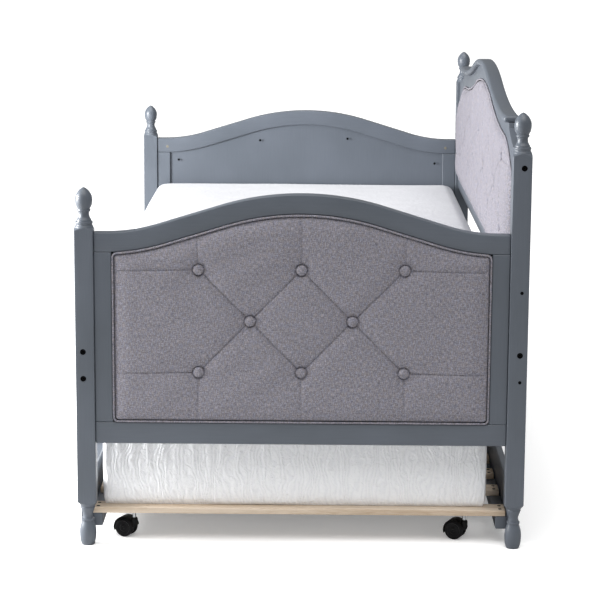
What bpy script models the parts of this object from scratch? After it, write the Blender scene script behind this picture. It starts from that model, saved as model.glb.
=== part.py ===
"""Daybed: two upholstered arms and an upholstered back between turned posts, with a pull-out trundle bed.

Metres, +Z up. +X runs along the bed, -Y is its open front, and the origin is on the floor under its middle.
Right is +X and left is -X, as seen from the front.
"""

import math

import bmesh
import bpy
from mathutils import Vector

# Whole frame
LENGTH = 2.063
DEPTH = 1.070
POST = 0.0447
GAP = 0.0003
EASE = 0.0018

# Posts
FRONT_SQUARE_TOP = 0.773
REAR_SQUARE_TOP = 0.954
POST_SIDES = 16

# Arms
ARM_SETBACK = 0.008
ARM_THICK = 0.033
STILE = 0.042
ARM_BOTTOM = 0.2547
ARM_OPENING_BOTTOM = 0.307
ARM_SHOULDER = 0.764
ARM_RISE = 0.0927
ARM_HALF_SPAN = 0.4626
ARM_CROWN_SHARE = 0.613
ARM_SLOPE = math.radians(17.06)
ARM_OPENING_SHOULDER = 0.7176
ARM_OPENING_RISE = 0.0929
ARM_OPENING_SPAN = 0.470
ARM_OPENING_CROWN_SHARE = 0.545

# Back panel
BACK_FACE = 0.500
BACK_THICK = 0.030
BACK_BOTTOM = 0.607
BACK_RAIL = 0.036
CREST_SHOULDER = 1.021
CREST_RISE = 0.077
CREST_HALF_SPAN = 0.72
CREST_CROWN_SHARE = 0.385
CREST_SLOPE = 2 * math.atan(CREST_RISE / CREST_HALF_SPAN)
CAP_HALF = 0.79
CAP_WIDTH = 0.040
CAP_THICK = 0.017
CAP_OVERHANG = 0.013
SHOULDER_STEP = 0.991
SHOULDER_END = 0.955
CREST_RAIL = 0.055
CORNER_START = 0.68
CORNER_RUN = 0.26
CORNER_DROP = 0.10

# Boards behind the pads, and the pads
BOARD = 0.006
BOARD_RECESS = 0.006
PAD_PROUD = 0.0065
BACK_PAD_PROUD = 0.016

# Side rails, ledgers and main slats
RAIL_BOTTOM = 0.386
RAIL_TOP = 0.506
RAIL_THICK = 0.025
RAIL_SETBACK = 0.0075
LEDGER = 0.025
LEDGER_BOTTOM = 0.389
SLAT_THICK = 0.014
SLAT_WIDTH = 0.060
SLAT_HALF_LENGTH = 0.4995
MAIN_SLATS = 14
MAIN_SLAT_REACH = 0.955
TAPE_WIDTH = 0.025
TAPE_THICK = 0.0015
TAPE_Y = 0.33

# Mattresses
MATTRESS_HALF_LENGTH = 0.975
MATTRESS_Y = (-0.488, 0.480)
MATTRESS_TOP = 0.622
TRUNDLE_MATTRESS_X = 0.958
TRUNDLE_MATTRESS_Y = (-0.482, 0.452)
TRUNDLE_MATTRESS_TOP = 0.2745

# Trundle
TRUNDLE_Y = -0.0035
TRUNDLE_HALF_LENGTH = 0.9838
TRUNDLE_BOTTOM = 0.038
TRUNDLE_TOP = 0.155
TRUNDLE_FRONT = (-0.5315, -0.5075)
TRUNDLE_REAR = (0.4995, 0.5155)
TRUNDLE_LEDGER_INNER = 0.476
TRUNDLE_SLAT_BOTTOM = 0.070
SINGLE_SLATS = (0.9553, 0.7775, 0.622)
MIDDLE_PITCH = 0.1555
MIDDLE_SLATS = 7

# Castors
CASTOR_X = 0.945
CASTOR_Y = 0.403
CASTOR_TURN = math.radians(-25)
CASTOR_TRAIL = 0.022
WHEEL_RADIUS = 0.023
WHEEL_OUTER = 0.0175
WHEEL_INNER = 0.0055
AXLE_RADIUS = 0.003
HOOD_RADIUS = 0.0265
HOOD_HALF = 0.018
WEB_HALF = 0.005
BOSS_TOP = 0.0490

# Bolts through the posts
HEAD_RADIUS = 0.0068
HEAD_DEEP = 0.009
SHANK_RADIUS = 0.004
BOLT_REACH = 0.085
BOLT_CLEARANCE = 0.0003
BOLT_SIDES = 12
BOLT_Y = 0.517
FRONT_BOLTS = {"upper": 0.479, "lower": 0.414}
REAR_BOLTS = {"panel": 0.9226, "rail": 0.4777}

END = LENGTH / 2
SIDE = DEPTH / 2
POST_X = END - POST / 2
POST_Y = SIDE - POST / 2
INNER_X = END - POST - GAP
INNER_Y = SIDE - POST - GAP

# Turned outlines: height above the floor, or above the square part, and radius. A radius over the square's
# half diagonal leaves the square whole, and between that and its half width it cuts the corners back.
FULL = POST / 2 * math.sqrt(2) + 0.0001
FOOT = (
    (0.0, 0.0150), (0.004, 0.0167), (0.013, 0.0190), (0.029, 0.0202), (0.044, 0.0188), (0.056, 0.0152),
    (0.060, 0.0142), (0.061, 0.0156), (0.065, 0.0156), (0.067, 0.0130), (0.076, 0.0120), (0.087, 0.0155),
    (0.093, 0.0175), (0.096, 0.0170), (0.099, 0.0186), (0.103, 0.0200), (0.106, 0.0250), (0.112, FULL),
)
FINIAL = (
    (-0.004, FULL), (0.0, 0.0235), (0.004, 0.0217), (0.008, 0.0196), (0.0145, 0.0201), (0.017, 0.0178),
    (0.0205, 0.0173), (0.027, 0.0134), (0.035, 0.0123), (0.041, 0.0150), (0.0448, 0.0152), (0.0463, 0.0142),
    (0.055, 0.0186), (0.0676, 0.0202), (0.078, 0.0184), (0.087, 0.0133), (0.094, 0.0055),
)
FINIAL_HEIGHT = 0.097


def material(name, colour, roughness, metallic=0.0):
    made = bpy.data.materials.new(name)
    made.use_nodes = True
    shader = made.node_tree.nodes["Principled BSDF"]
    shader.inputs["Base Color"].default_value = (*colour, 1.0)
    shader.inputs["Roughness"].default_value = roughness
    shader.inputs["Metallic"].default_value = metallic
    return made


def new_object(name, mesh, finish, location=(0, 0, 0), parent=None):
    made = bpy.data.objects.new(name, mesh)
    bpy.context.scene.collection.objects.link(made)
    mesh.materials.clear()
    mesh.materials.append(finish)
    made.location = location
    made.parent = parent
    return made


def new_empty(name, location, parent=None, turn=0.0):
    made = bpy.data.objects.new(name, None)
    bpy.context.scene.collection.objects.link(made)
    made.location = location
    made.rotation_euler.z = turn
    made.parent = parent
    return made


def to_mesh(bm, name):
    bmesh.ops.recalc_face_normals(bm, faces=bm.faces)
    if bm.calc_volume(signed=True) < 0:
        bmesh.ops.reverse_faces(bm, faces=bm.faces)
    mesh = bpy.data.meshes.new(name)
    bm.to_mesh(mesh)
    bm.free()
    return mesh


def ease_edges(made, width=EASE):
    """Breaks the sharp edges of a wooden piece."""
    bevel = made.modifiers.new("eased edges", "BEVEL")
    bevel.width = width
    bevel.segments = 1
    bevel.limit_method = "ANGLE"
    bevel.angle_limit = math.radians(40)


def cut(made, cutter, operation="DIFFERENCE"):
    boolean = made.modifiers.new(operation.lower(), "BOOLEAN")
    boolean.operation = operation
    boolean.solver = "EXACT"
    boolean.object = cutter
    cutter.hide_render = True
    cutter.display_type = "WIRE"


def block(name, low, high, finish, parent=None, ease=EASE):
    """A squared length of timber, or a plain soft block, between two corners."""
    low, high = Vector(low), Vector(high)
    bm = bmesh.new()
    bmesh.ops.create_cube(bm, size=1.0)
    bmesh.ops.scale(bm, vec=high - low, verts=bm.verts)
    made = new_object(name, to_mesh(bm, name), finish, (low + high) / 2, parent)
    if ease:
        ease_edges(made, ease)
    return made


def boxes(name, corners, finish):
    """Several plain boxes in one mesh."""
    bm = bmesh.new()
    for low, high in corners:
        low, high = Vector(low), Vector(high)
        made = bmesh.ops.create_cube(bm, size=1.0)["verts"]
        bmesh.ops.scale(bm, vec=high - low, verts=made)
        bmesh.ops.translate(bm, vec=(low + high) / 2, verts=made)
    return new_object(name, to_mesh(bm, name), finish)


def plate(name, outline, across, low, high, finish, ease=EASE):
    """An outline sawn from board. Its points are (y, z) for a board across X, and (x, z) for one across Y."""
    middle = (low + high) / 2
    bm = bmesh.new()
    if across == "X":
        points = [Vector((low - middle, a, z)) for a, z in outline]
        push = Vector((high - low, 0, 0))
        location = (middle, 0, 0)
    else:
        points = [Vector((a, low - middle, z)) for a, z in outline]
        push = Vector((0, high - low, 0))
        location = (0, middle, 0)
    face = bm.faces.new([bm.verts.new(p) for p in points])
    moved = bmesh.ops.extrude_face_region(bm, geom=[face])["geom"]
    bmesh.ops.translate(bm, vec=push, verts=[v for v in moved if isinstance(v, bmesh.types.BMVert)])
    made = new_object(name, to_mesh(bm, name), finish, location)
    if ease:
        ease_edges(made, ease)
    return made


def loft(rings, name, closed_top=None, closed_bottom=None):
    """Skins rings of the same number of points, and closes each end with a face, or a cone to a given point."""
    bm = bmesh.new()
    rows = [[bm.verts.new(p) for p in ring] for ring in rings]
    count = len(rows[0])
    for lower, upper in zip(rows, rows[1:]):
        for i in range(count):
            j = (i + 1) % count
            bm.faces.new((lower[i], lower[j], upper[j], upper[i]))
    for row, tip in ((rows[0], closed_bottom), (rows[-1], closed_top)):
        if tip is None:
            bm.faces.new(row)
        else:
            point = bm.verts.new(tip)
            for i in range(count):
                bm.faces.new((row[i], row[(i + 1) % count], point))
    return to_mesh(bm, name)


def ogee_drop(distance, half_span, rise, crown_share, slope):
    """How far an arch has dropped at a distance from its middle: a crown arc, a straight run at the slope's
    angle, and a hollow arc. The crown has its share of the two radii, which the span and the rise fix."""
    distance = min(abs(distance), half_span)
    sine, flat = math.sin(slope), 1 - math.cos(slope)
    radii = (half_span * sine - rise * math.cos(slope)) / flat
    crown = radii * crown_share
    hollow = radii - crown
    left = half_span - distance
    if distance <= crown * sine:
        return crown - math.sqrt(crown ** 2 - distance ** 2)
    if left <= hollow * sine:
        return rise - (hollow - math.sqrt(hollow ** 2 - left ** 2))
    return crown * flat + (distance - crown * sine) * math.tan(slope)


def arm_top(y):
    return ARM_SHOULDER + ARM_RISE - ogee_drop(y, ARM_HALF_SPAN, ARM_RISE, ARM_CROWN_SHARE, ARM_SLOPE)


def arm_opening_top(y):
    drop = ogee_drop(y, ARM_OPENING_SPAN, ARM_OPENING_RISE, ARM_OPENING_CROWN_SHARE, ARM_SLOPE)
    return ARM_OPENING_SHOULDER + ARM_OPENING_RISE - drop


def crest_top(x):
    drop = ogee_drop(x, CREST_HALF_SPAN, CREST_RISE, CREST_CROWN_SHARE, CREST_SLOPE)
    return CREST_SHOULDER + CREST_RISE - drop


def back_opening_top(x):
    corner = max(0.0, abs(x) - CORNER_START) / CORNER_RUN
    return crest_top(x) - CREST_RAIL - CORNER_DROP * corner ** 2


def shoulder_top(x):
    """The hollow step down from the crest to the post."""
    along = (INNER_X - abs(x)) / (INNER_X - CAP_HALF)
    return SHOULDER_END + (SHOULDER_STEP - SHOULDER_END) * along ** 2


def spread(low, high, count):
    return [low + (high - low) * i / count for i in range(count + 1)]


def post_ring(z, radius):
    """One level of a turned post: the circle, cut off where the square blank ends."""
    ring = []
    for i in range(POST_SIDES):
        angle = 2 * math.pi * i / POST_SIDES
        square = POST / 2 / max(abs(math.cos(angle)), abs(math.sin(angle)))
        reach = min(radius, square)
        ring.append((reach * math.cos(angle), reach * math.sin(angle), z))
    return ring


def make_posts(paint):
    posts = {}
    for side, x in (("right", POST_X), ("left", -POST_X)):
        for place, y, top in (("front", -POST_Y, FRONT_SQUARE_TOP), ("rear", POST_Y, REAR_SQUARE_TOP)):
            rings = [post_ring(z, radius) for z, radius in FOOT]
            rings += [post_ring(top + z, radius) for z, radius in FINIAL]
            name = f"{side}_{place}_post"
            mesh = loft(rings, name, closed_top=(0, 0, top + FINIAL_HEIGHT))
            posts[name] = new_object(name, mesh, paint, (x, y, 0))
    return posts


def make_arm(side, sign, paint, ply, tweed):
    outer = END - ARM_SETBACK
    inner = outer - ARM_THICK
    face = sorted((sign * inner, sign * outer))
    opening = INNER_Y - STILE
    joint = arm_opening_top(opening)
    stations = spread(-opening, opening, 24)
    arch = [(y, arm_top(y)) for y in spread(-ARM_HALF_SPAN, ARM_HALF_SPAN, 24)]
    top = [(-INNER_Y, ARM_SHOULDER), *arch, (INNER_Y, ARM_SHOULDER), (INNER_Y, joint)]
    under = [(y, arm_opening_top(y)) for y in reversed(stations)]
    plate(f"{side}_arm_top_rail", [*top, *under, (-INNER_Y, joint)], "X", *face, paint)
    low, high = ARM_OPENING_BOTTOM + GAP, joint - GAP
    block(
        f"{side}_arm_bottom_rail", (face[0], -INNER_Y, ARM_BOTTOM), (face[1], INNER_Y, ARM_OPENING_BOTTOM), paint
    )
    for place, y in (("front", -1), ("rear", 1)):
        edges = sorted((y * INNER_Y, y * opening))
        block(f"{side}_arm_{place}_stile", (face[0], edges[0], low), (face[1], edges[1], high), paint)
    fill = [(y * (1 - GAP / opening), arm_opening_top(y) - GAP) for y in stations]
    fill += [(opening - GAP, low), (-opening + GAP, low)]
    board = sorted((sign * (inner + BOARD_RECESS), sign * (inner + BOARD_RECESS + BOARD)))
    plate(f"{side}_arm_board", fill, "X", *board, ply, 0)
    pad = sorted((sign * (inner + BOARD_RECESS + BOARD + GAP), sign * (outer + PAD_PROUD)))
    plate(f"{side}_arm_pad", fill, "X", *pad, tweed, 0)


def make_back(paint, ply, tweed):
    face = (BACK_FACE, BACK_FACE + BACK_THICK)
    opening = INNER_X - STILE
    shoulder = back_opening_top(opening)
    low = BACK_BOTTOM + BACK_RAIL
    crest = [(x, crest_top(x) - CAP_THICK - GAP) for x in spread(-CAP_HALF, CAP_HALF, 28)]
    steps = spread(CAP_HALF, INNER_X, 5)
    right = [(x, shoulder_top(x)) for x in steps]
    left = [(-x, z) for x, z in reversed(right)]
    under = [(x, back_opening_top(x)) for x in spread(opening, -opening, 32)]
    outline = [*left, *crest, *right, (INNER_X, shoulder), *under, (-INNER_X, shoulder)]
    rail = plate("back_crest_rail", outline, "Y", *face, paint)
    block("back_bottom_rail", (-INNER_X, face[0], BACK_BOTTOM), (INNER_X, face[1], low), paint)
    for side, x in (("right", 1), ("left", -1)):
        edges = sorted((x * INNER_X, x * opening))
        block(f"back_{side}_stile", (edges[0], face[0], low + GAP), (edges[1], face[1], shoulder - GAP), paint)
    fill = [(x * (1 - GAP / opening), back_opening_top(x) - GAP) for x in spread(-opening, opening, 32)]
    fill += [(opening - GAP, low + GAP), (-opening + GAP, low + GAP)]
    board = face[1] - BOARD_RECESS / 2 - BOARD
    plate("back_board", fill, "Y", board, board + BOARD, ply, 0)
    plate("back_pad", fill, "Y", face[0] - BACK_PAD_PROUD, board - GAP, tweed, 0)
    make_cap(paint)
    return rail


def make_cap(paint):
    """The rounded moulding that lies along the crest."""
    middle = BACK_FACE - CAP_OVERHANG + CAP_WIDTH / 2
    round_end = CAP_THICK / 2
    rings = []
    for x in spread(-CAP_HALF, CAP_HALF, 28):
        centre = crest_top(x) - CAP_THICK / 2
        ring = []
        for i in range(12):
            angle = math.pi / 2 * (i // 3) + math.pi / 4 * (i % 3)
            out = math.copysign(CAP_WIDTH / 2 - round_end, math.cos(angle + 0.01 - 0.02 * (i % 3 == 2)))
            ring.append((x, middle + out + round_end * math.cos(angle), centre + round_end * math.sin(angle)))
        rings.append(ring)
    new_object("back_crest_cap", loft(rings, "back_crest_cap"), paint)


def make_base(paint, pine):
    rails = {}
    for place, y in (("front", -1), ("rear", 1)):
        outer = SIDE - RAIL_SETBACK
        inner = outer - RAIL_THICK
        edges = sorted((y * outer, y * inner))
        rails[place] = block(
            f"{place}_side_rail", (-INNER_X, edges[0], RAIL_BOTTOM), (INNER_X, edges[1], RAIL_TOP), paint
        )
        edges = sorted((y * (inner - GAP), y * (inner - GAP - LEDGER)))
        reach = MATTRESS_HALF_LENGTH
        block(
            f"{place}_ledger", (-reach, edges[0], LEDGER_BOTTOM), (reach, edges[1], LEDGER_BOTTOM + LEDGER), pine
        )
    bottom = LEDGER_BOTTOM + LEDGER + GAP
    places = spread(-MAIN_SLAT_REACH + SLAT_WIDTH / 2, MAIN_SLAT_REACH - SLAT_WIDTH / 2, MAIN_SLATS - 1)
    slat_roll("main_slats", places, 0.0, SLAT_HALF_LENGTH, bottom, pine)
    return rails


def slat_roll(name, places, middle, half_length, bottom, pine):
    """Slats that two webbing tapes, stapled under them, hold in one roll."""
    half = SLAT_WIDTH / 2
    slats = [
        ((x - half, middle - half_length, bottom), (x + half, middle + half_length, bottom + SLAT_THICK))
        for x in places
    ]
    reach = places[-1] + half * 0.8
    tapes = [
        ((-reach, middle + y - TAPE_WIDTH / 2, bottom - TAPE_THICK), (reach, middle + y + TAPE_WIDTH / 2, bottom + GAP))
        for y in (-TAPE_Y, TAPE_Y)
    ]
    made = boxes(name, slats, pine)
    cut(made, boxes(f"{name}_tapes", tapes, pine), "UNION")
    return made


def make_trundle(paint, pine, cover, black):
    trundle = new_empty("trundle", (0, TRUNDLE_Y, 0))

    def part(made):
        made.parent = trundle
        made.location.y -= TRUNDLE_Y
        return made

    reach = TRUNDLE_HALF_LENGTH
    for place, edges in (("front", TRUNDLE_FRONT), ("rear", TRUNDLE_REAR)):
        low, high = (-reach, edges[0], TRUNDLE_BOTTOM), (reach, edges[1], TRUNDLE_TOP)
        part(block(f"trundle_{place}_board", low, high, paint))
    for place, edges in (
        ("front", (TRUNDLE_FRONT[1] + GAP, TRUNDLE_Y - TRUNDLE_LEDGER_INNER)),
        ("rear", (TRUNDLE_Y + TRUNDLE_LEDGER_INNER, TRUNDLE_REAR[0] - GAP)),
    ):
        low, high = (-reach, edges[0], TRUNDLE_BOTTOM), (reach, edges[1], TRUNDLE_SLAT_BOTTOM - GAP)
        part(block(f"trundle_{place}_ledger", low, high, paint))
    half = SLAT_WIDTH / 2 - 0.0015
    ends = (TRUNDLE_Y - SLAT_HALF_LENGTH, TRUNDLE_Y + SLAT_HALF_LENGTH)
    for side, sign in (("right", 1), ("left", -1)):
        for number, x in enumerate(SINGLE_SLATS, 1):
            low = (sign * x - half, ends[0], TRUNDLE_SLAT_BOTTOM)
            high = (sign * x + half, ends[1], TRUNDLE_SLAT_BOTTOM + SLAT_THICK)
            part(block(f"trundle_{side}_slat_{number}", low, high, pine, ease=0.001))
    reach = MIDDLE_PITCH * (MIDDLE_SLATS - 1) / 2
    places = spread(-reach, reach, MIDDLE_SLATS - 1)
    part(slat_roll("trundle_middle_slats", places, TRUNDLE_Y, SLAT_HALF_LENGTH, TRUNDLE_SLAT_BOTTOM, pine))
    part(
        block(
            "trundle_mattress",
            (-TRUNDLE_MATTRESS_X, TRUNDLE_MATTRESS_Y[0], TRUNDLE_SLAT_BOTTOM + SLAT_THICK + GAP),
            (TRUNDLE_MATTRESS_X, TRUNDLE_MATTRESS_Y[1], TRUNDLE_MATTRESS_TOP),
            cover,
            ease=0.02,
        )
    )
    make_castors(trundle, black)


def turned(profile, sides, name):
    """A shape turned about local X: profile points are (x, radius), the first and last on the axis."""
    rings = []
    for x, radius in profile[1:-1]:
        turns = [2 * math.pi * i / sides for i in range(sides)]
        rings.append([(x, radius * math.cos(t), radius * math.sin(t)) for t in turns])
    return loft(rings, name, closed_top=(profile[-1][0], 0, 0), closed_bottom=(profile[0][0], 0, 0))


def wheel_mesh():
    """Two castor wheels and the axle between them."""
    edge = 0.002
    half = [
        (WHEEL_INNER, AXLE_RADIUS),
        (WHEEL_INNER, WHEEL_RADIUS - edge),
        (WHEEL_INNER + edge, WHEEL_RADIUS),
        (WHEEL_OUTER - edge, WHEEL_RADIUS),
        (WHEEL_OUTER, WHEEL_RADIUS - 2 * edge),
        (WHEEL_OUTER, 0),
    ]
    other = [(-x, radius) for x, radius in reversed(half)]
    return turned([*other, *half], 24, "wheels")


def cylinder(name, radius, low, high, axis, finish, sides=20):
    """A round bar between two points along X or Z."""
    bm = bmesh.new()
    bmesh.ops.create_cone(
        bm, cap_ends=True, segments=sides, radius1=radius, radius2=radius, depth=high - low
    )
    bmesh.ops.translate(bm, vec=(0, 0, (low + high) / 2), verts=bm.verts)
    if axis == "X":
        for v in bm.verts:
            v.co = Vector((v.co.z, v.co.x, v.co.y))
    return new_object(name, to_mesh(bm, name), finish)


def housing_mesh(black):
    """Castor housing: a hood over both wheels, the web between them, and the stem's boss."""
    hood = cylinder("hood", HOOD_RADIUS, -HOOD_HALF, HOOD_HALF, "X", black, 28)
    hood.location = (0, -CASTOR_TRAIL, WHEEL_RADIUS)
    big = 4 * HOOD_RADIUS
    below = boxes("below", [((-big, -big, -big), (big, big, WHEEL_RADIUS - 0.004))], black)
    web = cylinder("web", WHEEL_RADIUS - 0.003, -WEB_HALF, WEB_HALF, "X", black)
    web.location = (0, -CASTOR_TRAIL, WHEEL_RADIUS)
    boss = cylinder("boss", 0.0085, 0.028, BOSS_TOP, "Z", black, 16)
    stem = cylinder("stem", 0.0045, BOSS_TOP - 0.002, TRUNDLE_SLAT_BOTTOM - GAP, "Z", black, 12)
    cavity = []
    for sign in (1, -1):
        ends = sorted((sign * WEB_HALF, sign * 2 * HOOD_HALF))
        room = cylinder("wheel_room", WHEEL_RADIUS + 0.0013, *ends, "X", black, 28)
        room.location = (0, -CASTOR_TRAIL, WHEEL_RADIUS)
        cavity.append(room)
    bore = cylinder("bore", AXLE_RADIUS + BOLT_CLEARANCE, -big, big, "X", black, 16)
    bore.location = (0, -CASTOR_TRAIL, WHEEL_RADIUS)
    cut(hood, below)
    for extra in (web, boss, stem):
        cut(hood, extra, "UNION")
    for room in (*cavity, bore):
        cut(hood, room)
    bpy.context.view_layer.update()
    shape = bpy.data.meshes.new_from_object(hood.evaluated_get(bpy.context.evaluated_depsgraph_get()))
    shape.transform(hood.matrix_world)
    for used in (hood, below, web, boss, stem, *cavity, bore):
        bpy.data.objects.remove(used)
    return shape


def make_castors(trundle, black):
    housing = housing_mesh(black)
    wheels = wheel_mesh()
    for side, x in (("right", CASTOR_X), ("left", -CASTOR_X)):
        for place, y in (("front", -CASTOR_Y), ("rear", CASTOR_Y)):
            name = f"{side}_{place}_castor"
            swivel = new_empty(f"{name}_swivel", (x, y, 0), trundle, CASTOR_TURN)
            new_object(f"{name}_housing", housing, black, parent=swivel)
            spot = (0, -CASTOR_TRAIL, WHEEL_RADIUS)
            new_object(f"{name}_wheels", wheels, black, spot, swivel)


def bolt_mesh(clearance, name):
    """A bolt along local +X from its head, or with clearance added the stepped hole for it."""
    head = -clearance * 20
    profile = [
        (head, 0),
        (head, HEAD_RADIUS + clearance),
        (HEAD_DEEP + clearance, HEAD_RADIUS + clearance),
        (HEAD_DEEP + clearance, SHANK_RADIUS + clearance),
        (BOLT_REACH + clearance, SHANK_RADIUS + clearance),
        (BOLT_REACH + clearance, 0),
    ]
    return turned(profile, BOLT_SIDES, name)


def add_bolts(posts, rails, crest_rail, steel):
    for side, sign in (("right", 1), ("left", -1)):
        for place, heights in (("front", FRONT_BOLTS), ("rear", REAR_BOLTS)):
            y = BOLT_Y if place == "rear" else -BOLT_Y
            for kind, z in heights.items():
                name = f"{side}_{place}_{kind}_bolt"
                spot = (sign * (END - GAP), y, z)
                turn = math.pi if sign > 0 else 0
                bolt = new_object(name, bolt_mesh(0, name), steel, spot)
                bolt.rotation_euler.z = turn
                hole = new_object(f"{name}_hole", bolt_mesh(BOLT_CLEARANCE, f"{name}_hole"), steel, spot)
                hole.rotation_euler.z = turn
                cut(posts[f"{side}_{place}_post"], hole)
                cut(crest_rail if kind == "panel" else rails[place], hole)


def main():
    for old in list(bpy.data.objects):
        bpy.data.objects.remove(old)
    paint = material("blue grey paint", (0.12, 0.145, 0.17), 0.45)
    pine = material("pine", (0.60, 0.45, 0.30), 0.6)
    ply = material("painted plywood", (0.13, 0.155, 0.18), 0.5)
    tweed = material("grey tweed", (0.32, 0.31, 0.34), 0.9)
    white = material("white mattress cover", (0.85, 0.86, 0.88), 0.9)
    coverlet = material("white coverlet", (0.82, 0.83, 0.86), 0.95)
    black = material("black plastic", (0.01, 0.01, 0.011), 0.4)
    steel = material("black steel", (0.02, 0.02, 0.022), 0.35, 1.0)

    posts = make_posts(paint)
    for side, sign in (("right", 1), ("left", -1)):
        make_arm(side, sign, paint, ply, tweed)
    crest_rail = make_back(paint, ply, tweed)
    rails = make_base(paint, pine)
    bottom = LEDGER_BOTTOM + LEDGER + SLAT_THICK + 2 * GAP
    low = (-MATTRESS_HALF_LENGTH, MATTRESS_Y[0], bottom)
    high = (MATTRESS_HALF_LENGTH, MATTRESS_Y[1], MATTRESS_TOP)
    block("main_mattress", low, high, white, ease=0.03)
    make_trundle(paint, pine, coverlet, black)
    add_bolts(posts, rails, crest_rail, steel)


main()
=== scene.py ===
"""The daybed's looks: turned posts, arched rails, tufted pads, mattresses, castors, fixings and finishes.

Metres, +Z up. +X runs along the bed, -Y is its open front, and the origin is on the floor under its middle.
"""

import math

import bpy
import numpy as np
from mathutils import Matrix, Vector


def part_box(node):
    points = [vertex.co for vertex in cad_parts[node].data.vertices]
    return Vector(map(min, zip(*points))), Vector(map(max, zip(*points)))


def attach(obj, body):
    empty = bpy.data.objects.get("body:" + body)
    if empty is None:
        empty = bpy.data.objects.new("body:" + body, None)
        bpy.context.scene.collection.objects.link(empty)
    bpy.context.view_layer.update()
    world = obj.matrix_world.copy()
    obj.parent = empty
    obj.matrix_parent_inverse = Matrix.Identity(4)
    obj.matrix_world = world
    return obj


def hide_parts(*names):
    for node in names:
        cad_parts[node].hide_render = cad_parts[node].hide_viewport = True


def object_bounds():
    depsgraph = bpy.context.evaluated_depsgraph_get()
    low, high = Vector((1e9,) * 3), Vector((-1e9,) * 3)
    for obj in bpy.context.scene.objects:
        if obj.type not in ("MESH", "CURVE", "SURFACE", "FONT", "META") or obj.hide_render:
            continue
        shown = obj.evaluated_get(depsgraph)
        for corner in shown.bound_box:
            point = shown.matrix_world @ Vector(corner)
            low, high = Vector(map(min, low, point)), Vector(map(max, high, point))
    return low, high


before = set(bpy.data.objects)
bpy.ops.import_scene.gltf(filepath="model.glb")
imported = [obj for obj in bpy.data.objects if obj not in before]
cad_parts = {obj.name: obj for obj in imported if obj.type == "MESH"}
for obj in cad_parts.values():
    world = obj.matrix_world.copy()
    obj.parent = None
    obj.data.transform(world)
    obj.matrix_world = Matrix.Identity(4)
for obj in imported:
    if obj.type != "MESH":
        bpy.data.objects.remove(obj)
cad_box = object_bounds()

# Sizes shared with the frame
POST = 0.0447
FRONT_SQUARE_TOP = 0.773
REAR_SQUARE_TOP = 0.954
FINIAL_HEIGHT = 0.097
STILE = 0.042
ARM_SHOULDER = 0.764
ARM_RISE = 0.0927
ARM_HALF_SPAN = 0.4626
ARM_OPENING_BOTTOM = 0.307
ARM_OPENING_SHOULDER = 0.7176
ARM_OPENING_RISE = 0.0929
ARM_OPENING_SPAN = 0.470
ARM_OPENING_CROWN_SHARE = 0.545
ARM_CROWN_SHARE = 0.613
ARM_SLOPE = math.radians(17.06)
CREST_SHOULDER = 1.021
CREST_RISE = 0.077
CREST_HALF_SPAN = 0.72
CREST_CROWN_SHARE = 0.385
CREST_SLOPE = 2 * math.atan(CREST_RISE / CREST_HALF_SPAN)
CREST_RAIL = 0.055
CORNER_START = 0.68
CORNER_RUN = 0.26
CORNER_DROP = 0.10
CAP_HALF = 0.79
CAP_THICK = 0.017
CAP_GAP = 0.0003
SHOULDER_STEP = 0.991
SHOULDER_END = 0.955
CASTOR_TURN = math.radians(-25)
CASTOR_TRAIL = 0.022
CASTOR_X = 0.945
CASTOR_Y = {"front": -0.4065, "rear": 0.3995}
WHEEL_RADIUS = 0.023

frame_high = cad_box[1]
POST_X = frame_high.x - POST / 2
POST_Y = frame_high.y - POST / 2
RAIL_END_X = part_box("back_bottom_rail")[1].x
RAIL_END_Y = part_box("right_arm_bottom_rail")[1].y
ARM_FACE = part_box("right_arm_bottom_rail")[1].x
ARM_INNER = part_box("right_arm_bottom_rail")[0].x
BACK_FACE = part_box("back_bottom_rail")[0].y
BACK_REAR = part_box("back_bottom_rail")[1].y
BACK_OPENING_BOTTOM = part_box("back_bottom_rail")[1].z

SMOOTH_ANGLE = math.radians(35)
# Turns that bring a piece from +Z to +X or to -X
ALONG_X = Matrix.Rotation(math.pi / 2, 4, "Y")
AGAINST_X = Matrix.Rotation(-math.pi / 2, 4, "Y")
MIRROR = Matrix.Scale(-1, 4, (1, 0, 0))


# ---------------------------------------------------------------- modelling by hand, in code

def only(piece):
    """Selects one object alone and makes it active."""
    bpy.ops.object.select_all(action="DESELECT")
    piece.select_set(True)
    bpy.context.view_layer.objects.active = piece


def pick(piece, kind, test):
    """Goes into edit mode with only the faces, edges or vertices that pass the test selected."""
    only(piece)
    bpy.ops.object.mode_set(mode="EDIT")
    bpy.ops.mesh.select_mode(type=kind)
    bpy.ops.mesh.select_all(action="DESELECT")
    bpy.ops.object.mode_set(mode="OBJECT")
    mesh = piece.data
    for item in {"FACE": mesh.polygons, "EDGE": mesh.edges, "VERT": mesh.vertices}[kind]:
        item.select = test(item)
    bpy.ops.object.mode_set(mode="EDIT")


def pick_all(piece):
    """Goes into edit mode with everything selected."""
    only(piece)
    bpy.ops.object.mode_set(mode="EDIT")
    bpy.ops.mesh.select_all(action="SELECT")


def done():
    """Leaves edit mode."""
    bpy.ops.object.mode_set(mode="OBJECT")


def face_outwards(piece):
    """Merges doubled points and turns all faces outwards."""
    pick_all(piece)
    bpy.ops.mesh.remove_doubles(threshold=0.00001)
    bpy.ops.mesh.normals_make_consistent(inside=False)
    done()


def smooth(piece, angle=SMOOTH_ANGLE):
    only(piece)
    bpy.ops.object.shade_smooth_by_angle(angle=angle)


def modify(piece, kind, **settings):
    """Adds a modifier and applies it."""
    only(piece)
    modifier = piece.modifiers.new(kind.lower(), kind)
    for key, value in settings.items():
        setattr(modifier, key, value)
    bpy.ops.object.modifier_apply(modifier=modifier.name)


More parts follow.
